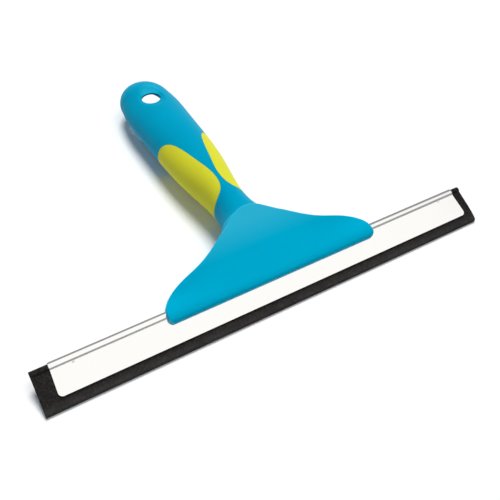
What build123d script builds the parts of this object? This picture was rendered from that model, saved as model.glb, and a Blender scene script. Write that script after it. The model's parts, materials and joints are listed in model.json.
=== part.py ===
from build123d import *
import math
import os

# Window squeegee lying face up on a table, as it rests on its rubber lip and the belly of its handle.
# X runs along the blade, +Y points to the tip of the handle, Z is up. All sizes are millimetres.
# Blade sizes are given in the blade's own frame: v up the blade from the lip edge, n out of its face.

# Rubber blade
RUBBER_LENGTH = 280.0
RUBBER_SHIFT = -1.7
LIP_THICKNESS = 2.0
BULB_DIAMETER = 3.8
BULB_V = 23.0
BLADE_TILT = 23.5

# Folded metal channel
CHANNEL_LENGTH = 263.5
SHEET = 0.6
SLIDE_GAP = 0.3
FLANGE_EDGE_V = 6.2
FLANGE_FLARE = 0.7
FLANGE_CORNER = 2.5
GROOVE_ROUND = 0.35
PUNCH_RADIUS = 0.8
PUNCH_DEPTH = 0.25
PUNCH_INSET = 12.0
PUNCH_DROP = 2.8

# Head
HEAD_HALF = 67.2
HEAD_END_V = 20.5
LIP_EDGE_V = 16.8
LIP_END_INSET = 2.2
LIP_END_LEAN = 33.0
APEX_V = 62.9
REAR_REACH = 6.0
WING = (61.9, 30.8)
SHOULDER = (53.9, 35.5)
FLANK = (34.7, 43.2)
NECK_FLARE = (19.3, 53.0)
CROWN = (9.5, 59.8)
ROLL_WALL = 2.9
NOSE_V = 0.6
NOSE_N = 2.2
PLATE_RISE = 3.6
SCOOP_DEPTH = 1.5
SCOOP_V = 30.0
NECK_SPREAD = 14.0
SWELL_START = 0.1
SCULPT_COLUMNS = 24
SCULPT_ROWS = 16
HEAD_WALL = 2.4
PLATE_EDGE = 0.7
SEAM = 0.1
CLAMP_GAP = 0.1
FAIRING_LENGTH = 12.0
FAIRING_WIDTH = 36.0
FAIRING_DEPTH = 25.0
PLATE_STEP = 1.5

# Handle: distance from the head, full width, full depth
HANDLE_STATIONS = (
    (0.0, 30.6, 28.0),
    (9.0, 24.4, 26.8),
    (35.0, 26.4, 28.6),
    (58.0, 33.6, 29.8),
    (86.0, 37.8, 30.4),
    (114.0, 39.8, 29.6),
    (147.5, 37.8, 27.8),
)
HANDLE_LENGTH = 170.0
HANDLE_TILT = -1.8
SKIN = 3.0
CORE_LENGTH = 106.0
CORE_END_WIDTH = 28.0
CORE_END_DEPTH = 20.0
BOND_GAP = 0.08
COLLAR_GAP = 0.1

# Yellow pads: inner edge in plan, distance from the middle and from the head
PAD_EDGE = (
    (24.0, 84.2),
    (14.0, 82.0),
    (8.6, 71.0),
    (4.4, 52.0),
    (1.5, 31.0),
    (4.5, 21.0),
    (11.7, 16.7),
    (20.0, 14.0),
)

# Hang hole
HOLE_DIAMETER = 13.4
HOLE_AT = 136.0
DISH_RADIUS = 30.0
DISH_DEPTH = 3.2
WEB = 1.2
RECESS_WIDTH = 20.0
RECESS_START = 128.0
RECESS_END = 159.0
RECESS_CORNER = 9.0
RECESS_DRAFT = 15.0
SLOPE_START = 128.0
SLOPE_ANGLE = 23.0

# Tongue of the handle's core and the screws
TONGUE_WIDTH = 13.4
TONGUE_DEPTH = 6.0
TONGUE_DROP = 2.4
TONGUE_LENGTH = 19.0
TONGUE_GAP = 0.15
SCREW_DIAMETER = 2.9
SCREW_HEAD = 5.4
SCREW_HEAD_HEIGHT = 1.9
SLOT_LENGTH = 3.2
SLOT_WIDTH = 0.9
SCREW_BITE = 4.5
SCREW_GAP = 0.2
SEAT_GAP = 0.05
SCREW_FLOOR = 2.2
BOSS_DIAMETER = 7.0
WING_SCREW = (38.0, 34.0)
TONGUE_SCREW_BACK = 9.5

# Sizes worked out from those above
FLANGE_N = LIP_THICKNESS / 2 + SLIDE_GAP + SHEET
BEAD_OUTER = BULB_DIAMETER / 2 + SLIDE_GAP + SHEET
LIP_N = FLANGE_N + CLAMP_GAP
ROLL_N = BEAD_OUTER + CLAMP_GAP + ROLL_WALL
REAR_V = APEX_V + REAR_REACH
CAVITY_V = BULB_V + BEAD_OUTER + CLAMP_GAP + HEAD_WALL
FAR = 2 * HEAD_HALF
TILT_COS = math.cos(math.radians(BLADE_TILT))
TILT_SIN = math.sin(math.radians(BLADE_TILT))


def on_blade(shape):
    """Move a shape from the blade's frame to the table, with the lip's lower edge on the table."""
    lift = LIP_THICKNESS / 2
    return Pos(0, -lift * TILT_SIN, lift * TILT_COS) * Rot(X=BLADE_TILT) * shape


def to_blade(y, z):
    """Blade coordinates (v, n) of a point of the middle plane."""
    lift = LIP_THICKNESS / 2
    dy = y + lift * TILT_SIN
    dz = z - lift * TILT_COS
    return dy * TILT_COS + dz * TILT_SIN, dz * TILT_COS - dy * TILT_SIN


def plate_n(v):
    """Height of the head's front plate over the blade's middle plane."""
    return ROLL_N + PLATE_RISE * (v - BULB_V) / (APEX_V - BULB_V)


# The head's rear face is square to the handle, just under the apex of the plate
COLLAR_Y = APEX_V * TILT_COS - plate_n(APEX_V) * TILT_SIN


def handle_ellipse(distance, width, depth):
    """One section of the handle, square to its axis."""
    plane = Plane(origin=(0, distance, 0), x_dir=(1, 0, 0), z_dir=(0, 1, 0))
    return plane * Ellipse(width / 2, depth / 2)


def handle_form():
    """Outer form of the handle along +Y: a loft through its stations, closed by a rounded tip."""
    shaft = loft([handle_ellipse(*station) for station in HANDLE_STATIONS])
    start, width, depth = HANDLE_STATIONS[-1]
    quarter = make_face([Line((0, 0), (1, 0)), CenterArc((0, 0), 1, 0, 90), Line((0, 1), (0, 0))])
    tip = scale(revolve(quarter, Axis.Y), by=(width / 2, HANDLE_LENGTH - start, depth / 2))
    return shaft + Pos(0, start, 0) * tip


def rod(radius, bottom, top):
    """Upright cylinder between two heights."""
    return Pos(0, 0, (bottom + top) / 2) * Cylinder(radius, top - bottom)


def hang_hole():
    """Dished hang hole, with the underside of the tip hollowed and sloped away behind it."""
    crown = HANDLE_STATIONS[-1][2] / 2
    rim = crown - DISH_DEPTH + DISH_RADIUS - math.sqrt(DISH_RADIUS ** 2 - HOLE_DIAMETER ** 2 / 4)
    cut = Pos(0, HOLE_AT, 0) * rod(HOLE_DIAMETER / 2, -FAR, FAR)
    cut += Pos(0, HOLE_AT, crown - DISH_DEPTH + DISH_RADIUS) * Sphere(DISH_RADIUS)
    roof = Plane(origin=(0, (RECESS_START + RECESS_END) / 2, rim - WEB), x_dir=(1, 0, 0), z_dir=(0, 0, -1))
    recess = roof * RectangleRounded(RECESS_WIDTH, RECESS_END - RECESS_START, RECESS_CORNER)
    cut += extrude(recess, amount=2 * crown, taper=-RECESS_DRAFT)
    below = Rot(X=SLOPE_ANGLE) * Pos(0, FAR / 2, -FAR / 2) * Box(2 * FAR, FAR, FAR)
    return cut + Pos(0, SLOPE_START, -crown) * below


HANDLE_FORM = handle_form()
HANDLE_BODY = HANDLE_FORM - hang_hole()
AXIS_Z = -(Rot(X=HANDLE_TILT) * HANDLE_BODY).bounding_box().min.Z


def on_handle(shape):
    """Move a shape from the handle's frame, whose origin is on the head's rear face, to the table."""
    return Pos(0, COLLAR_Y + COLLAR_GAP, AXIS_Z) * Rot(X=HANDLE_TILT) * shape


def rubber_blade():
    """Rubber strip with a round bulb along its top, cut square at both ends."""
    profile = Pos(BULB_V / 2, 0) * Rectangle(BULB_V, LIP_THICKNESS)
    profile += Pos(BULB_V, 0) * Circle(BULB_DIAMETER / 2)
    return Pos(RUBBER_SHIFT, 0, 0) * extrude(Plane.YZ * profile, amount=RUBBER_LENGTH / 2, both=True)


def channel_profile(skin):
    """Section of the channel: outer skin only, or the room inside it, at a distance from the middle."""
    round_half = BULB_DIAMETER / 2 + skin
    flat_half = LIP_THICKNESS / 2 + skin
    legs = Pos((BULB_V + FLANGE_EDGE_V) / 2, 0) * Rectangle(BULB_V - FLANGE_EDGE_V, 2 * flat_half)
    return legs + Pos(BULB_V, 0) * Circle(round_half)


def channel_outline():
    """Front view of the channel: a straight bead, flanges that run out a little to rounded corners."""
    top_v = BULB_V + BEAD_OUTER + SHEET
    half = CHANNEL_LENGTH / 2
    edge_half = half + FLANGE_FLARE
    groove_v = BULB_V - BEAD_OUTER
    outline = make_face(Polyline(
        (-half, top_v), (half, top_v), (half, groove_v), (edge_half, FLANGE_EDGE_V),
        (-edge_half, FLANGE_EDGE_V), (-half, groove_v), close=True))
    corners = outline.vertices().group_by(Axis.Y)[0]
    return fillet(corners, FLANGE_CORNER)


def channel():
    """Sheet folded round the rubber's bulb, with two flanges and punch marks beside its ends."""
    outer = Plane.YZ * channel_profile(SLIDE_GAP + SHEET)
    inner = Plane.YZ * channel_profile(SLIDE_GAP)
    reach = CHANNEL_LENGTH / 2 + 2 * FLANGE_FLARE
    body = extrude(outer, amount=reach, both=True)
    grooves = body.edges().filter_by(Axis.X).filter_by(
        lambda edge: BULB_V - BEAD_OUTER < edge.center().Y < BULB_V)
    body = fillet(grooves, GROOVE_ROUND)
    body -= extrude(inner, amount=reach + SHEET, both=True)
    slot = Pos(0, FLANGE_EDGE_V, 0) * Box(2 * FAR, 2 * SHEET, 2 * (FLANGE_N - SHEET))
    body -= slot
    body &= extrude(channel_outline(), amount=BEAD_OUTER + SHEET, both=True)
    for side in (-1, 1):
        mark_x = side * (CHANNEL_LENGTH / 2 - PUNCH_INSET)
        mark_n = FLANGE_N + PUNCH_RADIUS - PUNCH_DEPTH
        body -= Pos(mark_x, BULB_V - PUNCH_DROP, mark_n) * Sphere(PUNCH_RADIUS)
    return body


def front_curve(x):
    """Front of the head at x: lip edge, roll over the bead, scoop of the wing, rising plate."""
    scoop = SCOOP_DEPTH * (x / HEAD_HALF) ** 2
    return Spline(
        (x, LIP_EDGE_V, LIP_N), (x, LIP_EDGE_V + NOSE_V, LIP_N + NOSE_N), (x, BULB_V, ROLL_N),
        (x, SCOOP_V, plate_n(SCOOP_V) - scoop), (x, FLANK[1], plate_n(FLANK[1])),
        (x, REAR_V, plate_n(REAR_V)))


def back_curve(x):
    """Back of the head at x: the same lip and roll, then a swell that runs out into the neck."""
    neck_v, neck_n = to_blade(COLLAR_Y, AXIS_Z - HANDLE_STATIONS[0][2] / 2)
    swell = (-neck_n - ROLL_N) * math.exp(-(x / NECK_SPREAD) ** 2)
    rear_share = (REAR_V - SCOOP_V) / (neck_v - SCOOP_V)
    return Spline(
        (x, LIP_EDGE_V, -LIP_N), (x, LIP_EDGE_V + NOSE_V, -LIP_N - NOSE_N), (x, BULB_V, -ROLL_N),
        (x, SCOOP_V, -ROLL_N - SWELL_START * swell), (x, neck_v, -ROLL_N - swell),
        (x, REAR_V, -ROLL_N - rear_share * swell))


def sculpted(curve, sink):
    """Smooth face through the curve as it changes along the head, sunk along n by the given depth."""
    reach = HEAD_HALF + LIP_END_INSET
    rows = []
    for column in range(SCULPT_COLUMNS + 1):
        line = curve(reach * (2 * column / SCULPT_COLUMNS - 1))
        rows.append([line @ (row / SCULPT_ROWS) - Vector(0, 0, sink) for row in range(SCULPT_ROWS + 1)])
    return Face.make_surface_from_array_of_points(rows)


def head_outline(inset):
    """Front view of the head, drawn in by an inset: straight lip, hollow flanks, a round apex."""
    low_v = LIP_EDGE_V + CLAMP_GAP + inset
    start = (HEAD_HALF - LIP_END_INSET - inset, low_v)
    side = (HEAD_HALF - inset, HEAD_END_V + inset)
    apex = (0, APEX_V - inset)
    bends = [(x - inset / 2, v - inset) for x, v in (WING, SHOULDER, FLANK, NECK_FLARE, CROWN)]
    crown = TangentArc(apex, bends[-1], tangent=(1, 0))
    flank = Spline(side, *bends, tangents=((0, 1), -(crown % 1)))
    lean = math.radians(LIP_END_LEAN)
    corner = TangentArc(start, side, tangent=(math.cos(lean), math.sin(lean)))
    half = make_face([Polyline(apex, (0, low_v), start), corner, flank, crown])
    return half + mirror(half, about=Plane.YZ)


def head_form(sink):
    """Solid of the head, its outline, front and back all sunk by the same depth."""
    block = extrude(head_outline(sink), amount=FAR, both=True)
    block -= extrude(sculpted(front_curve, sink), amount=2 * FAR, dir=(0, 0, 1))
    block -= extrude(sculpted(back_curve, -sink), amount=2 * FAR, dir=(0, 0, -1))
    return block


def neck_fairing():
    """Round run-out under the plate, which carries the handle's section into the back of the head."""
    front = handle_ellipse(-FAIRING_LENGTH, FAIRING_WIDTH, FAIRING_DEPTH)
    neck = loft([front, handle_ellipse(*HANDLE_STATIONS[0])])
    over_plate = extrude(sculpted(front_curve, PLATE_STEP), amount=2 * FAR, dir=(0, 0, 1))
    return on_handle(neck) - on_blade(over_plate)


def head_solid():
    """The closed head on the table: soft plate edge, rear end cut square to the handle."""
    form = head_form(0)
    plate_edge = form.edges().filter_by(lambda edge: edge.center().Z > ROLL_N).sort_by(SortBy.LENGTH)[-1]
    form = fillet(plate_edge, PLATE_EDGE)
    behind = Pos(0, FAR / 2 - COLLAR_GAP, 0) * Box(2 * FAR, FAR, 2 * FAR)
    return on_blade(form) + neck_fairing() - on_handle(behind)


def head_cavity():
    """Hollow inside the head, above the wall that backs the channel's bead."""
    hollow = head_form(HEAD_WALL)
    ahead = Pos(0, CAVITY_V - FAR / 2, 0) * Box(2 * FAR, FAR, 2 * FAR)
    behind = Pos(0, FAR / 2 - COLLAR_GAP - HEAD_WALL, 0) * Box(2 * FAR, FAR, 2 * FAR)
    return on_blade(hollow - ahead) - on_handle(behind)


def channel_seat():
    """Room in the head for the channel, a clamping gap all round it."""
    return on_blade(extrude(Plane.YZ * channel_profile(SLIDE_GAP + SHEET + CLAMP_GAP), amount=FAR, both=True))


def tongue(gap):
    """Flat bar on the front of the handle's core, grown by a gap on every side."""
    rear = SKIN
    length = TONGUE_LENGTH + rear + gap
    bar = Box(TONGUE_WIDTH + 2 * gap, length, TONGUE_DEPTH + 2 * gap)
    return Pos(0, rear - length / 2, -TONGUE_DROP) * bar


def at_wing_screws(shape):
    """The same shape at both wing screws, its +Z along the screw from back to front."""
    return [on_blade(Pos(side * WING_SCREW[0], WING_SCREW[1], 0) * shape) for side in (-1, 1)]


def at_tongue_screw(shape):
    """The shape at the screw through the tongue, z = 0 in the tongue's middle."""
    return on_handle(Pos(0, -TONGUE_SCREW_BACK, -TONGUE_DROP) * shape)


def screw(seat, tip):
    """Self-tapping screw: pan head under its seat, pointed shank, cross slot in the head."""
    shank = SCREW_DIAMETER / 2
    body = rod(shank, seat, tip - shank)
    body += Pos(0, 0, tip - shank / 2) * Cone(shank, shank / 3, shank)
    head = rod(SCREW_HEAD / 2, seat - SCREW_HEAD_HEIGHT, seat)
    body += fillet(head.edges().group_by(Axis.Z)[0], SCREW_HEAD_HEIGHT / 2)
    for turn in (0, 90):
        slot = Box(SLOT_LENGTH, SLOT_WIDTH, SCREW_HEAD_HEIGHT)
        body -= Pos(0, 0, seat - SCREW_HEAD_HEIGHT) * Rot(Z=turn) * slot
    return body


def screw_room(seat, tip):
    """Bored room for one screw, with a counterbore for its head."""
    pilot = rod(SCREW_DIAMETER / 2 + SCREW_GAP, seat, tip + SCREW_GAP)
    return pilot + rod(SCREW_HEAD / 2 + 2 * SCREW_GAP, seat - FAR, seat + SEAT_GAP)


WING_SEAT = -SEAM / 2 - SCREW_FLOOR
WING_TIP = SEAM / 2 + SCREW_BITE
TONGUE_SEAT = -TONGUE_DEPTH / 2 - TONGUE_GAP - SCREW_FLOOR
TONGUE_TIP = TONGUE_DEPTH / 2 + TONGUE_GAP + SCREW_BITE


def head_shell(closed, front):
    """One half of the head: outer wall, bosses, a seat for the channel and one for the tongue."""
    side = 1 if front else -1
    half_space = Box(2 * FAR, 2 * FAR, FAR)
    keep = on_blade(Pos(0, 0, side * (FAR + SEAM) / 2) * half_space)
    above_tongue = on_handle(Pos(0, 0, side * (FAR + TONGUE_DEPTH) / 2 - TONGUE_DROP) * half_space)
    shell = (closed - head_cavity()) & keep
    for boss in at_wing_screws(rod(BOSS_DIAMETER / 2, -FAR, FAR)):
        shell += boss & closed & keep
    shell += at_tongue_screw(rod(BOSS_DIAMETER / 2, -FAR, FAR)) & closed & above_tongue
    shell -= on_handle(tongue(TONGUE_GAP))
    shell -= channel_seat()
    for room in at_wing_screws(screw_room(WING_SEAT, WING_TIP)):
        shell -= room
    return shell - at_tongue_screw(screw_room(TONGUE_SEAT, TONGUE_TIP))


def head_screws():
    """Two screws through the wings and one through the handle's tongue."""
    left, right = at_wing_screws(screw(WING_SEAT, WING_TIP))
    return left + right + at_tongue_screw(screw(TONGUE_SEAT, TONGUE_TIP))


def core_form(gap):
    """Stiff inside of the handle: the form sunk by the skin, drawn in at its rear end."""
    sunk = 2 * (SKIN - gap)
    stations = [(at, width - sunk, depth - sunk) for at, width, depth in HANDLE_STATIONS if at < CORE_LENGTH]
    stations.append((CORE_LENGTH + gap, CORE_END_WIDTH + 2 * gap, CORE_END_DEPTH + 2 * gap))
    return loft([handle_ellipse(*station) for station in stations])


def handle_core():
    """Stiff core with its tongue, and a hole in the tongue for the screw."""
    core = core_form(0) + tongue(0)
    hole = rod(SCREW_DIAMETER / 2 + SCREW_GAP, -TONGUE_DEPTH, TONGUE_DEPTH)
    return on_handle(core - Pos(0, -TONGUE_SCREW_BACK, -TONGUE_DROP) * hole)


def pad_window(side, gap):
    """Prism over one pad of the grip, drawn in by a gap."""
    middle = (PAD_EDGE[0][1] + PAD_EDGE[-1][1]) / 2
    shrink = 1 - gap / (PAD_EDGE[0][1] - middle)
    points = [(side * (x + gap), middle + shrink * (y - middle)) for x, y in PAD_EDGE]
    edge = Spline(*points)
    outer = Polyline(edge @ 1, (side * FAR, points[-1][1]), (side * FAR, points[0][1]), edge @ 0)
    return extrude(make_face([edge, outer]), amount=FAR, both=True)


def handle_skin(window_left, window_right):
    """Soft outer skin with openings for the two pads and the hang hole in its tip."""
    skin = HANDLE_BODY - core_form(BOND_GAP)
    return on_handle(skin - window_left - window_right)


def grip_inlay(side):
    """Soft pad that fills one side opening of the skin, flush with it."""
    pad = HANDLE_FORM - core_form(BOND_GAP)
    return on_handle(pad & pad_window(side, BOND_GAP))


def main():
    os.makedirs("parts", exist_ok=True)
    closed = head_solid()
    parts = {
        "rubber_blade": on_blade(rubber_blade()),
        "channel": on_blade(channel()),
        "head_front_shell": head_shell(closed, True),
        "head_back_shell": head_shell(closed, False),
        "head_screws": head_screws(),
        "handle_core": handle_core(),
        "handle_skin": handle_skin(pad_window(-1, 0), pad_window(1, 0)),
        "grip_inlay_left": grip_inlay(-1),
        "grip_inlay_right": grip_inlay(1),
    }
    tip_y = parts["handle_skin"].bounding_box().max.Y
    lip_y = parts["rubber_blade"].bounding_box().min.Y
    centred = Pos(-RUBBER_SHIFT, -(tip_y + lip_y) / 2, 0)
    for name, shape in parts.items():
        export_step(centred * shape, f"parts/{name}.step")


if __name__ == "__main__":
    main()
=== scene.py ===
"""Window squeegee on a pale floor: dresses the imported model's pieces and sets up its stage."""

import json
import math

import bpy
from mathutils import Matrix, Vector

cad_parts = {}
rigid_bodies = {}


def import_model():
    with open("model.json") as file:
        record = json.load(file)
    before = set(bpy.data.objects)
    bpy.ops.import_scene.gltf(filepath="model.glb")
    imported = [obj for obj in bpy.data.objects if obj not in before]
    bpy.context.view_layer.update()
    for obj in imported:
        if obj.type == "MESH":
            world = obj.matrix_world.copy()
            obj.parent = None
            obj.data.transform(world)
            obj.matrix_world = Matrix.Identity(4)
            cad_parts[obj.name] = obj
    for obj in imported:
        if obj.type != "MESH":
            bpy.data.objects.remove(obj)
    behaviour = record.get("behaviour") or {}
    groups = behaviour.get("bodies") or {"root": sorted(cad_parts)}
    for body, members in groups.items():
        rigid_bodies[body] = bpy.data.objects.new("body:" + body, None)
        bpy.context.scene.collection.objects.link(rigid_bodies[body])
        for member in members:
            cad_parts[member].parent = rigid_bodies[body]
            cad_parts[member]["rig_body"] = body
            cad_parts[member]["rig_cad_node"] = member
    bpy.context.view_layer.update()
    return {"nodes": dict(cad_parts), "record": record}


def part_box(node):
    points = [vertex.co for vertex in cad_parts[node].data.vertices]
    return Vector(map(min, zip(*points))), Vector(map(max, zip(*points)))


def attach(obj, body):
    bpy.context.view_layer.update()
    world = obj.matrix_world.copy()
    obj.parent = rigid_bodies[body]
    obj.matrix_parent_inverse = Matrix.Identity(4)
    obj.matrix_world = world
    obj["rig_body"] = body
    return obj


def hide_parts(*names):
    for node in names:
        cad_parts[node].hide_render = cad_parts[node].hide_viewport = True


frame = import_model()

bl_info = {
    "name": "Window squeegee",
    "version": (1, 0, 0),
    "blender": (4, 5, 0),
    "location": "View3D > Sidebar > Squeegee",
    "description": "Dresses a window squeegee and lights it on a pale floor",
    "category": "Object",
}

MM = 0.001
TOOL = "tool"
BLADE = "blade"
WHITE = "#FFFFFF"

# the handle points along +Y, and the strip rests on its lip and leans back over the floor
TOWARDS_HANDLE = (0, 1, 0)
BLADE_TILT = math.radians(23.5)
UP_STRIP = (0, math.cos(BLADE_TILT), math.sin(BLADE_TILT))
OFF_STRIP = (0, -math.sin(BLADE_TILT), math.cos(BLADE_TILT))

# corners of triangles this close are one point, and points this close to an edge lie on it
MERGE_GAP = 0.005 * MM
EDGE_GAP = 0.05 * MM

# faces that bend less than this are one flat face, or are shaded as one round face
FLAT_BEND = math.radians(0.5)
ROUND_BEND = math.radians(28)
HANDLE_ROUND_BEND = math.radians(30)

# faces across a rounded edge
ROUND_STEPS = 6

# moulded pieces: the flow clouds and their stray in colour, the grain's depth and its stray in roughness
CLOUD_WIDTH = 30 * MM
CLOUD_STRAY = 0.05
GRAIN_DEPTH = 0.05 * MM
GRAIN_STRAY = 0.05

# bright metal: length and spacing of the roll marks, and the roughness between them and on them
MARK_LENGTH = 60 * MM
MARK_SPACING = 0.4 * MM
BRIGHT_ROUGHNESS = 0.12
MARK_ROUGHNESS = 0.17

# rubber: width of the bloom's clouds, reach of the dust up from the lip, above which the bare black is
# painted shade, and width of the fine grain
BLOOM_WIDTH = 9 * MM
DUST_AND_SHADE_REACH = 7 * MM
RUBBER_GRAIN = 0.5 * MM

# talc on the rubber: spacing of its grains, the noise at which they begin and are full, and their cover
TALC_SPACING = 1.1 * MM
TALC_BEGINS = 0.45
TALC_FULL = 0.75
TALC_COVER = 0.45

# the room that gloss shows: dim walls up to one height, and the white ceiling from the next, lower in front
CEILING_LEAN = (0, -0.25, 1)
WALL_TOP = 0.6
CEILING_EDGE = 0.82
WALL_LIGHT = 0.3
CEILING_LIGHT = 1.05

# a lamp of this kind shines alike from any place, so this only keeps it clear of the squeegee
LAMP_PLACE = (0.5, 0.7, 1.2)


class SqueegeeFinish(bpy.types.PropertyGroup):
    """Colours, grains, worn places and painted sheen of the squeegee's pieces."""

    head_colour: bpy.props.StringProperty(
        name="Head", description="Turquoise of the moulded head", default="#00B2D6")
    # the crown's paler colour, and where along Y it begins and is full, paint a sheen on the head: a
    # painted highlight
    crown_sheen_colour: bpy.props.StringProperty(
        name="Rubbed crown", description="Paler turquoise where the thumb rubs the head", default="#30BCDC")
    crown_sheen_start: bpy.props.FloatProperty(
        name="Crown start", description="Where along Y the thumb begins to rub the head",
        default=-79 * MM, unit="LENGTH")
    crown_sheen_full: bpy.props.FloatProperty(
        name="Crown full", description="Where along Y the crown of the head is fully rubbed",
        default=-65 * MM, unit="LENGTH")
    skin_colour: bpy.props.StringProperty(
        name="Handle skin", description="Turquoise of the soft handle skin", default="#009CBF")
    # the dish's paler colour, its place, reach and full radius paint a sheen on the far wall of the hang
    # hole's dish: a painted highlight
    dish_sheen_colour: bpy.props.StringProperty(
        name="Hook mark", description="Paler turquoise where a hook rubs the dish of the hang hole",
        default="#1CB4D4")
    dish_sheen_place: bpy.props.FloatVectorProperty(
        name="Hook mark place", description="Where the hook rubs, from the middle of the hang hole",
        default=(2.4 * MM, 8 * MM, 2 * MM), subtype="TRANSLATION")
    dish_sheen_reach: bpy.props.FloatProperty(
        name="Hook mark reach", description="Radius at which the hook's mark has faded out",
        default=9 * MM, unit="LENGTH")
    dish_sheen_full: bpy.props.FloatProperty(
        name="Hook mark full", description="Radius within which the hook's mark is palest",
        default=4 * MM, unit="LENGTH")
    pad_colour: bpy.props.StringProperty(
        name="Grip pads", description="Lime yellow of the soft pads", default="#DDDA33")
    rubber_colour: bpy.props.StringProperty(
        name="Blade rubber", description="Black of the wiping strip", default="#262423")
    dust_colour: bpy.props.StringProperty(
        name="Lip dust", description="Grey of the dust and talc on the rubber", default="#4B4744")
    metal_colour: bpy.props.StringProperty(
        name="Channel metal", description="Bright rolled sheet of the channel", default="#F8F7F4")
    screw_colour: bpy.props.StringProperty(
        name="Screws", description="Grey of the screws' zinc plating", default="#A9ABAE")
    lip_corner: bpy.props.FloatProperty(
        name="Lip corner", description="Radius of the worn corner of the wiping lip",
        default=2 * MM, unit="LENGTH")
    lip_edge: bpy.props.FloatProperty(
        name="Lip edge", description="Radius of the worn wiping edge", default=1.2 * MM, unit="LENGTH")
    # the real grains are finer, and are drawn this coarse so that they show
    mould_grain: bpy.props.FloatProperty(
        name="Mould grain", description="Width of the grain left by the eroded mould",
        default=0.55 * MM, min=0.05 * MM, unit="LENGTH")
    skin_grain: bpy.props.FloatProperty(
        name="Skin grain", description="Width of the fine grain on the soft skin and pads",
        default=0.35 * MM, min=0.05 * MM, unit="LENGTH")


class SqueegeeStage(bpy.types.PropertyGroup):
    """Camera, floor and light of the stage."""

    elevation: bpy.props.FloatProperty(
        name="Elevation", description="Camera's angle above the floor",
        default=math.radians(47.6), subtype="ANGLE")
    azimuth: bpy.props.FloatProperty(
        name="Azimuth", description="Turn of the camera towards +X",
        default=math.radians(29.45), subtype="ANGLE")
    lens: bpy.props.FloatProperty(
        name="Lens", description="Focal length of the camera", default=46.0, unit="CAMERA")
    sensor: bpy.props.FloatProperty(
        name="Sensor", description="Width of the camera's sensor", default=36.0, unit="CAMERA")
    place: bpy.props.FloatVectorProperty(
        name="Camera", description="Where the camera stands",
        default=(-0.1269, -0.29175, 0.2883), subtype="TRANSLATION")
    floor_size: bpy.props.FloatProperty(
        name="Floor", description="Side of the square floor", default=8.0, unit="LENGTH")
    floor_colour: bpy.props.StringProperty(
        name="Floor colour", description="White of the paper on the floor", default="#FAFAF8")
    floor_glow: bpy.props.FloatProperty(
        name="Floor glow", description="Light added to the floor where it is seen, which makes it white",
        default=0.04, min=0.0)
    key_strength: bpy.props.FloatProperty(
        name="Key light", description="Strength of the soft light behind on the right, in W/m2",
        default=2.45, min=0.0)
    key_spread: bpy.props.FloatProperty(
        name="Key size", description="Angle that the key light fills, which softens the shadow",
        default=math.radians(24), subtype="ANGLE")
    key_elevation: bpy.props.FloatProperty(
        name="Key elevation", description="Height of the key light over the floor",
        default=math.radians(60), subtype="ANGLE")
    key_azimuth: bpy.props.FloatProperty(
        name="Key azimuth", description="Turn of the key light from +Y towards +X",
        default=math.radians(28), subtype="ANGLE")
    side_strength: bpy.props.FloatProperty(
        name="Side light", description="Strength of the soft light high on the right, in W/m2",
        default=0.75, min=0.0)
    side_spread: bpy.props.FloatProperty(
        name="Side size", description="Angle that the side light fills",
        default=math.radians(30), subtype="ANGLE")
    side_elevation: bpy.props.FloatProperty(
        name="Side elevation", description="Height of the side light over the floor",
        default=math.radians(68), subtype="ANGLE")
    side_azimuth: bpy.props.FloatProperty(
        name="Side azimuth", description="Turn of the side light from +Y towards +X",
        default=math.radians(115), subtype="ANGLE")
    fill: bpy.props.FloatProperty(
        name="Fill", description="Strength of the light from the room", default=0.19, min=0.0)
    fill_colour: bpy.props.StringProperty(
        name="Fill colour", description="Cool white of the light from the room", default="#DCEBFF")


def linear(hex_colour):
    """Linear RGBA of an sRGB hex colour."""
    values = []
    for start in (1, 3, 5):
        share = int(hex_colour[start:start + 2], 16) / 255
        values.append(share / 12.92 if share <= 0.04045 else ((share + 0.055) / 1.055) ** 2.4)
    return (*values, 1.0)


def scaled(colour, factor):
    """A linear colour made lighter or darker by a factor."""
    return (*(part * factor for part in colour[:3]), 1.0)


def node(tree, kind, values=None, links=None, **settings):
    """Add one node: its settings, the values of its sockets, and the links that reach its sockets."""
    made = tree.nodes.new(kind)
    for name, value in settings.items():
        setattr(made, name, value)
    for socket, value in (values or {}).items():
        made.inputs[socket].default_value = value
    for socket, source in (links or {}).items():
        tree.links.new(source, made.inputs[socket])
    return made


def blank_material(name):
    """New material with an empty node tree and its output node."""
    made = bpy.data.materials.new(name)
    made.use_nodes = True
    made.node_tree.nodes.clear()
    return made, made.node_tree, made.node_tree.nodes.new("ShaderNodeOutputMaterial")


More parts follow.
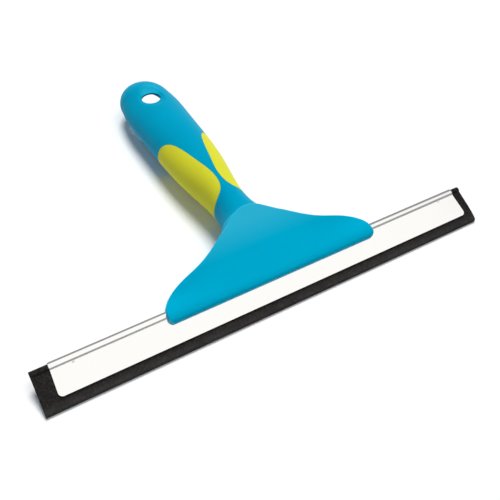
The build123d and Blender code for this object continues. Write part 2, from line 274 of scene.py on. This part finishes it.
def moulded_material(name, colour, grain, roughness, bump, gloss, painted_sheen=None):
    """Moulded plastic or elastomer: one colour with faint flow clouds, and the fine grain of its mould.

    For a painted sheen it takes a paler colour, a vector operation with its vector, and the operation's
    results where the sheen begins and where it is full.
    """
    made, tree, out = blank_material(name)
    place = node(tree, "ShaderNodeTexCoord").outputs["Object"]
    base = linear(colour)
    clouds = node(tree, "ShaderNodeTexNoise", {"Scale": 1 / CLOUD_WIDTH, "Detail": 2.0}, {"Vector": place})
    shade = node(tree, "ShaderNodeMixRGB",
                 {"Color1": scaled(base, 1 - CLOUD_STRAY), "Color2": scaled(base, 1 + CLOUD_STRAY)},
                 {"Fac": clouds.outputs["Fac"]})
    fine = node(tree, "ShaderNodeTexNoise", {"Scale": 1 / grain, "Detail": 1.0}, {"Vector": place})
    rough = node(tree, "ShaderNodeMapRange",
                 {"To Min": roughness - GRAIN_STRAY, "To Max": roughness + GRAIN_STRAY},
                 {"Value": fine.outputs["Fac"]})
    dents = node(tree, "ShaderNodeBump", {"Strength": bump, "Distance": GRAIN_DEPTH},
                 {"Height": fine.outputs["Fac"]})
    if painted_sheen:
        # a paler colour painted along a way or about a spot is a painted sheen, and worn says how much of
        # it shows
        paler, operation, vector, begins, full = painted_sheen
        reach = node(tree, "ShaderNodeVectorMath", {1: vector}, {0: place}, operation=operation)
        worn = node(tree, "ShaderNodeMapRange", {"From Min": begins, "From Max": full},
                    {"Value": reach.outputs["Value"]})
        shade = node(tree, "ShaderNodeMixRGB", {"Color2": linear(paler)},
                     {"Fac": worn.outputs["Result"], "Color1": shade.outputs["Color"]})
    # the pigment lies right under the surface, so the gloss takes its colour except at the rims
    tint = scaled(base, 1 / max(base[:3]))
    skin = node(tree, "ShaderNodeBsdfPrincipled", {"Specular Tint": tint, "Specular IOR Level": gloss},
                {"Base Color": shade.outputs["Color"], "Roughness": rough.outputs["Result"],
                 "Normal": dents.outputs["Normal"]})
    tree.links.new(skin.outputs["BSDF"], out.inputs["Surface"])
    return made


def head_plastic(finish):
    """Polypropylene from an eroded mould: an even, half-matt colour, with a paler painted sheen on the
    crown.
    """
    # a paler painted sheen on the crown, growing along Y towards the handle
    crown = (finish.crown_sheen_colour, "DOT_PRODUCT", TOWARDS_HANDLE, finish.crown_sheen_start, finish.crown_sheen_full)
    return moulded_material("polypropylene_eroded_mould", finish.head_colour, finish.mould_grain,
                            roughness=0.38, bump=0.4, gloss=0.06, painted_sheen=crown)


def skin_elastomer(finish):
    """Soft elastomer moulded over the core: hardly any gloss, with a paler painted sheen in the hang hole's
    dish.
    """
    hole = frame["record"]["mounts"][0]["pos_m"]
    # centre of the painted sheen on the far wall of the hang hole's dish
    hook = [middle + offset for middle, offset in zip(hole, finish.dish_sheen_place)]
    dish = (finish.dish_sheen_colour, "DISTANCE", hook, finish.dish_sheen_reach, finish.dish_sheen_full)
    return moulded_material("soft_elastomer_turquoise", finish.skin_colour, finish.skin_grain,
                            roughness=0.46, bump=0.2, gloss=0.04, painted_sheen=dish)


def pad_elastomer(finish):
    """Soft elastomer of the pads: a full yellow with a broad, dull sheen."""
    return moulded_material("soft_elastomer_yellow", finish.pad_colour, finish.skin_grain,
                            roughness=0.5, bump=0.2, gloss=0.1)


def core_plastic(finish):
    """Polypropylene of the core, which the skin hides: dull, in the skin's colour."""
    return moulded_material("polypropylene_core", finish.skin_colour, finish.mould_grain,
                            roughness=0.5, bump=0.2, gloss=0.1)


def bright_metal(name, colour):
    """Bright bare or plated metal: close to a mirror, with faint duller marks from its rolling."""
    made, tree, out = blank_material(name)
    place = node(tree, "ShaderNodeTexCoord").outputs["Object"]
    # the marks run along the blade
    stretch = node(tree, "ShaderNodeMapping",
                   {"Scale": (1 / MARK_LENGTH, 1 / MARK_SPACING, 1 / MARK_SPACING)}, {"Vector": place})
    marks = node(tree, "ShaderNodeTexNoise", {"Scale": 1.0, "Detail": 3.0},
                 {"Vector": stretch.outputs["Vector"]})
    rough = node(tree, "ShaderNodeMapRange", {"To Min": BRIGHT_ROUGHNESS, "To Max": MARK_ROUGHNESS},
                 {"Value": marks.outputs["Fac"]})
    metal = node(tree, "ShaderNodeBsdfPrincipled", {"Base Color": linear(colour), "Metallic": 1.0},
                 {"Roughness": rough.outputs["Result"]})
    tree.links.new(metal.outputs["BSDF"], out.inputs["Surface"])
    return made


def blade_rubber(finish):
    """Cured black rubber: matt, with a bloom in faint clouds, dust and talc that grey the black, and
    painted shade under the flange.
    """
    made, tree, out = blank_material("cured_rubber_dust_and_shade")
    place = node(tree, "ShaderNodeTexCoord").outputs["Object"]
    bloom = node(tree, "ShaderNodeTexNoise", {"Scale": 1 / BLOOM_WIDTH, "Detail": 4.0}, {"Vector": place})
    # wiping leaves its dust on the lip, and the bare black towards the flange is painted shade from the
    # flange, so the strip is paler at the lip than at the flange
    height = node(tree, "ShaderNodeVectorMath", {1: UP_STRIP}, {0: place}, operation="DOT_PRODUCT")
    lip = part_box("rubber_blade")[0][1] * math.cos(BLADE_TILT)
    dust = node(tree, "ShaderNodeMapRange",
                {"From Min": lip, "From Max": lip + DUST_AND_SHADE_REACH, "To Min": 1.0, "To Max": 0.0},
                {"Value": height.outputs["Value"]})
    clouded = node(tree, "ShaderNodeMath", None, {0: dust.outputs["Result"], 1: bloom.outputs["Fac"]},
                   operation="MULTIPLY")
    # grains of talc from the curing, about a millimetre apart, give the black its grey mottle
    talc = node(tree, "ShaderNodeTexNoise", {"Scale": 1 / TALC_SPACING, "Detail": 2.0}, {"Vector": place})
    grains = node(tree, "ShaderNodeMapRange",
                  {"From Min": TALC_BEGINS, "From Max": TALC_FULL, "To Max": TALC_COVER},
                  {"Value": talc.outputs["Fac"]})
    cover = node(tree, "ShaderNodeMath", None, {0: clouded.outputs[0], 1: grains.outputs["Result"]},
                 operation="ADD", use_clamp=True)
    shade = node(tree, "ShaderNodeMixRGB",
                 {"Color1": linear(finish.rubber_colour), "Color2": linear(finish.dust_colour)},
                 {"Fac": cover.outputs[0]})
    fine = node(tree, "ShaderNodeTexNoise", {"Scale": 1 / RUBBER_GRAIN, "Detail": 1.0}, {"Vector": place})
    dents = node(tree, "ShaderNodeBump", {"Strength": 0.2, "Distance": GRAIN_DEPTH},
                 {"Height": fine.outputs["Fac"]})
    skin = node(tree, "ShaderNodeBsdfPrincipled", {"Specular IOR Level": 0.01, "Roughness": 0.75},
                {"Base Color": shade.outputs["Color"], "Normal": dents.outputs["Normal"]})
    tree.links.new(skin.outputs["BSDF"], out.inputs["Surface"])
    return made


def merged_copy(cad_node, piece_name):
    """Copy of a CAD node with its loose triangles merged into one skin, active and selected alone."""
    source = frame["nodes"][cad_node]
    piece = source.copy()
    piece.data = source.data.copy()
    piece.name = piece_name
    piece.data.name = piece_name
    # the copy is a piece of its own, so the node's marks, parent and material come off
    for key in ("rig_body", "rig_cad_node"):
        del piece[key]
    piece.parent = None
    piece.data.materials.clear()
    bpy.context.scene.collection.objects.link(piece)
    bpy.ops.object.select_all(action="DESELECT")
    bpy.context.view_layer.objects.active = piece
    piece.select_set(True)
    # the loaded normals are each triangle's own and would hide where the real edges are
    bpy.ops.mesh.customdata_custom_splitnormals_clear()
    bpy.ops.object.mode_set(mode="EDIT")
    bpy.ops.mesh.select_all(action="SELECT")
    bpy.ops.mesh.remove_doubles(threshold=MERGE_GAP)
    bpy.ops.object.mode_set(mode="OBJECT")
    return piece


def smooth(piece, bend):
    """Shade a piece's faces as round where they meet at less than the given bend."""
    bpy.ops.object.shade_smooth_by_angle(angle=bend)
    # large faces rule the normals, so long triangles on the flats don't pick up the bends beside them
    even = piece.modifiers.new("even_normals", "WEIGHTED_NORMAL")
    even.keep_sharp = True
    bpy.ops.object.modifier_apply(modifier=even.name)


def dress(cad_node, piece_name, body, material, bend=ROUND_BEND, wear=None):
    """Put a smooth copy with its material in a node's place, on its body, worn first where it wears."""
    piece = merged_copy(cad_node, piece_name)
    if wear:
        wear(piece)
    smooth(piece, bend)
    piece.data.materials.append(material)
    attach(piece, body)
    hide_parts(cad_node)


def round_edges(piece, wanted, radius):
    """Round the edges that run between two wanted points."""
    mesh = piece.data
    chosen = {point.index for point in mesh.vertices if wanted(point.co)}
    for item in (*mesh.vertices, *mesh.edges, *mesh.polygons):
        item.select = False
    for edge in mesh.edges:
        edge.select = set(edge.vertices) <= chosen
    bpy.context.tool_settings.mesh_select_mode = (False, True, False)
    bpy.ops.object.mode_set(mode="EDIT")
    bpy.ops.mesh.bevel(offset=radius, segments=ROUND_STEPS, affect="EDGES")
    bpy.ops.object.mode_set(mode="OBJECT")


def wear_lip(strip):
    """Round the strip's right lip corner and then its wiping edge, which wear away first."""
    finish = bpy.context.scene.squeegee_finish
    bpy.ops.object.mode_set(mode="EDIT")
    bpy.ops.mesh.select_all(action="SELECT")
    bpy.ops.mesh.dissolve_limited(angle_limit=FLAT_BEND)
    bpy.ops.object.mode_set(mode="OBJECT")
    points = [point.co for point in strip.data.vertices]
    right = max(place.x for place in points) - EDGE_GAP
    lip = min(place.dot(UP_STRIP) for place in points) + EDGE_GAP
    front = max(place.dot(OFF_STRIP) for place in points if place.dot(UP_STRIP) < lip) - EDGE_GAP
    round_edges(strip, lambda place: place.x > right and place.dot(UP_STRIP) < lip, finish.lip_corner)
    # the wiping edge runs on round the worn corner
    corner = lip + finish.lip_corner
    round_edges(strip, lambda place: place.dot(OFF_STRIP) > front and place.dot(UP_STRIP) < corner,
                finish.lip_edge)


def seen_rays(tree):
    """Light Path node, and 1 for the rays that show the backdrop: straight, in gloss or through glass."""
    path = node(tree, "ShaderNodeLightPath")
    straight_or_gloss = node(tree, "ShaderNodeMath", None,
                             {0: path.outputs["Is Camera Ray"], 1: path.outputs["Is Glossy Ray"]},
                             operation="MAXIMUM")
    seen = node(tree, "ShaderNodeMath", None,
                {0: straight_or_gloss.outputs[0], 1: path.outputs["Is Transmission Ray"]},
                operation="MAXIMUM")
    return path, seen.outputs[0]


def floor_paper(stage):
    """White paper: matt, so that it takes the soft shadow, with a faint glow that keeps the rest white."""
    made, tree, out = blank_material("white_paper_floor")
    _, seen = seen_rays(tree)
    glow = node(tree, "ShaderNodeMath", {1: stage.floor_glow}, {0: seen}, operation="MULTIPLY")
    matt = node(tree, "ShaderNodeBsdfDiffuse", {"Color": linear(stage.floor_colour)})
    lit = node(tree, "ShaderNodeEmission", {"Color": linear(WHITE)}, {"Strength": glow.outputs[0]})
    both = node(tree, "ShaderNodeAddShader", None, {0: matt.outputs[0], 1: lit.outputs[0]})
    tree.links.new(both.outputs[0], out.inputs["Surface"])
    return made


def white_room(stage):
    """Room round the stage: a cool fill light, white behind the squeegee, with dim walls in the gloss."""
    world = bpy.data.worlds.new("white_room")
    world.use_nodes = True
    tree = world.node_tree
    tree.nodes.clear()
    path, seen = seen_rays(tree)
    # dim walls under a white ceiling draw the edges of the bright metal
    place = node(tree, "ShaderNodeTexCoord").outputs["Generated"]
    height = node(tree, "ShaderNodeVectorMath", {1: CEILING_LEAN}, {0: place}, operation="DOT_PRODUCT")
    walls = node(tree, "ShaderNodeMapRange",
                 {"From Min": WALL_TOP, "From Max": CEILING_EDGE,
                  "To Min": WALL_LIGHT, "To Max": CEILING_LIGHT},
                 {"Value": height.outputs["Value"]})
    shown = node(tree, "ShaderNodeMath", None,
                 {0: walls.outputs["Result"], 1: path.outputs["Is Camera Ray"]}, operation="MAXIMUM")
    room = node(tree, "ShaderNodeBackground", {"Color": linear(WHITE)}, {"Strength": shown.outputs[0]})
    fill = node(tree, "ShaderNodeBackground", {"Color": linear(stage.fill_colour), "Strength": stage.fill})
    both = node(tree, "ShaderNodeMixShader", None, {0: seen, 1: fill.outputs[0], 2: room.outputs[0]})
    node(tree, "ShaderNodeOutputWorld", None, {"Surface": both.outputs[0]})
    return world


def hang_lamp(name, strength, spread, elevation, azimuth):
    """Add one soft lamp that shines on the squeegee from the given height and side."""
    bpy.ops.object.light_add(type="SUN", location=LAMP_PLACE)
    lamp = bpy.context.object
    lamp.name = name
    lamp.data.energy = strength
    lamp.data.angle = spread
    lamp.rotation_euler = (math.pi / 2 - elevation, 0, math.pi - azimuth)
    # the lamp shines through the ceiling's white cloth, so the gloss shows the cloth and not the lamp
    lamp.visible_glossy = False


def stand_camera(stage):
    """Add the camera at its place, turned to the squeegee."""
    bpy.ops.object.camera_add(location=stage.place)
    camera = bpy.context.object
    camera.name = "camera"
    camera.data.lens = stage.lens
    camera.data.sensor_width = stage.sensor
    camera.rotation_euler = (math.pi / 2 - stage.elevation, 0, -stage.azimuth)
    return camera


class SQUEEGEE_OT_blade(bpy.types.Operator):
    """Dress the rubber strip"""

    bl_idname = "squeegee.blade"
    bl_label = "Rubber strip"

    def execute(self, context):
        rubber = blade_rubber(context.scene.squeegee_finish)
        dress("rubber_blade", "rubber_strip", BLADE, rubber, wear=wear_lip)
        return {"FINISHED"}


class SQUEEGEE_OT_channel(bpy.types.Operator):
    """Dress the folded channel"""

    bl_idname = "squeegee.channel"
    bl_label = "Folded channel"

    def execute(self, context):
        sheet = bright_metal("rolled_aluminium", context.scene.squeegee_finish.metal_colour)
        dress("channel", "folded_channel", TOOL, sheet)
        return {"FINISHED"}


class SQUEEGEE_OT_head(bpy.types.Operator):
    """Dress the two head shells and the screws"""

    bl_idname = "squeegee.head"
    bl_label = "Head"

    def execute(self, context):
        finish = context.scene.squeegee_finish
        plastic = head_plastic(finish)
        steel = bright_metal("zinc_plated_steel", finish.screw_colour)
        dress("head_front_shell", "head_front", TOOL, plastic)
        dress("head_back_shell", "head_back", TOOL, plastic)
        dress("head_screws", "screws", TOOL, steel)
        return {"FINISHED"}


class SQUEEGEE_OT_handle(bpy.types.Operator):
    """Dress the handle's skin, pads and core"""

    bl_idname = "squeegee.handle"
    bl_label = "Handle"

    def execute(self, context):
        finish = context.scene.squeegee_finish
        pad = pad_elastomer(finish)
        for cad_node, piece_name, slot, material in (
                ("handle_skin", "grip_skin_piece", "grip_skin", skin_elastomer(finish)),
                ("grip_inlay_left", "pad_left", "grip_pad", pad),
                ("grip_inlay_right", "pad_right", "grip_pad", pad),
                ("handle_core", "core_piece", "core_plastic", core_plastic(finish))):
            dress(cad_node, piece_name, TOOL, material, HANDLE_ROUND_BEND)
        return {"FINISHED"}


class SQUEEGEE_OT_stage(bpy.types.Operator):
    """Lay the floor, set the lights and place the camera"""

    bl_idname = "squeegee.stage"
    bl_label = "Stage"

    def execute(self, context):
        scene = context.scene
        stage = scene.squeegee_stage
        bpy.ops.object.select_all(action="DESELECT")
        bpy.ops.mesh.primitive_plane_add(size=stage.floor_size, location=(0, 0, 0))
        floor = context.object
        floor.name = "floor"
        floor.data.materials.append(floor_paper(stage))
        scene.world = white_room(stage)
        hang_lamp("key_light", stage.key_strength, stage.key_spread, stage.key_elevation, stage.key_azimuth)
        hang_lamp("side_light", stage.side_strength, stage.side_spread, stage.side_elevation,
                  stage.side_azimuth)
        scene.camera = stand_camera(stage)
        scene.view_settings.view_transform = "Standard"
        return {"FINISHED"}


class SQUEEGEE_PT_panel(bpy.types.Panel):
    """Sidebar panel with the squeegee's operators and settings"""

    bl_idname = "SQUEEGEE_PT_panel"
    bl_label = "Squeegee"
    bl_space_type = "VIEW_3D"
    bl_region_type = "UI"
    bl_category = "Squeegee"

    def draw(self, context):
        column = self.layout.column(align=True)
        for operator in OPERATORS:
            column.operator(operator.bl_idname)
        for group in (context.scene.squeegee_finish, context.scene.squeegee_stage):
            for name in group.bl_rna.properties.keys():
                if name not in ("rna_type", "name"):
                    column.prop(group, name)


OPERATORS = (
    SQUEEGEE_OT_blade,
    SQUEEGEE_OT_channel,
    SQUEEGEE_OT_head,
    SQUEEGEE_OT_handle,
    SQUEEGEE_OT_stage,
)
CLASSES = (SqueegeeFinish, SqueegeeStage, *OPERATORS, SQUEEGEE_PT_panel)


def register():
    """Register the classes and give the scene its settings."""
    for cls in CLASSES:
        bpy.utils.register_class(cls)
    bpy.types.Scene.squeegee_finish = bpy.props.PointerProperty(type=SqueegeeFinish)
    bpy.types.Scene.squeegee_stage = bpy.props.PointerProperty(type=SqueegeeStage)


def unregister():
    """Take the settings and the classes away again."""
    del bpy.types.Scene.squeegee_stage
    del bpy.types.Scene.squeegee_finish
    for cls in reversed(CLASSES):
        bpy.utils.unregister_class(cls)


def main():
    """Dress every piece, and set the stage."""
    register()
    bpy.ops.squeegee.blade()
    bpy.ops.squeegee.channel()
    bpy.ops.squeegee.head()
    bpy.ops.squeegee.handle()
    bpy.ops.squeegee.stage()


if __name__ == "__main__":
    main()
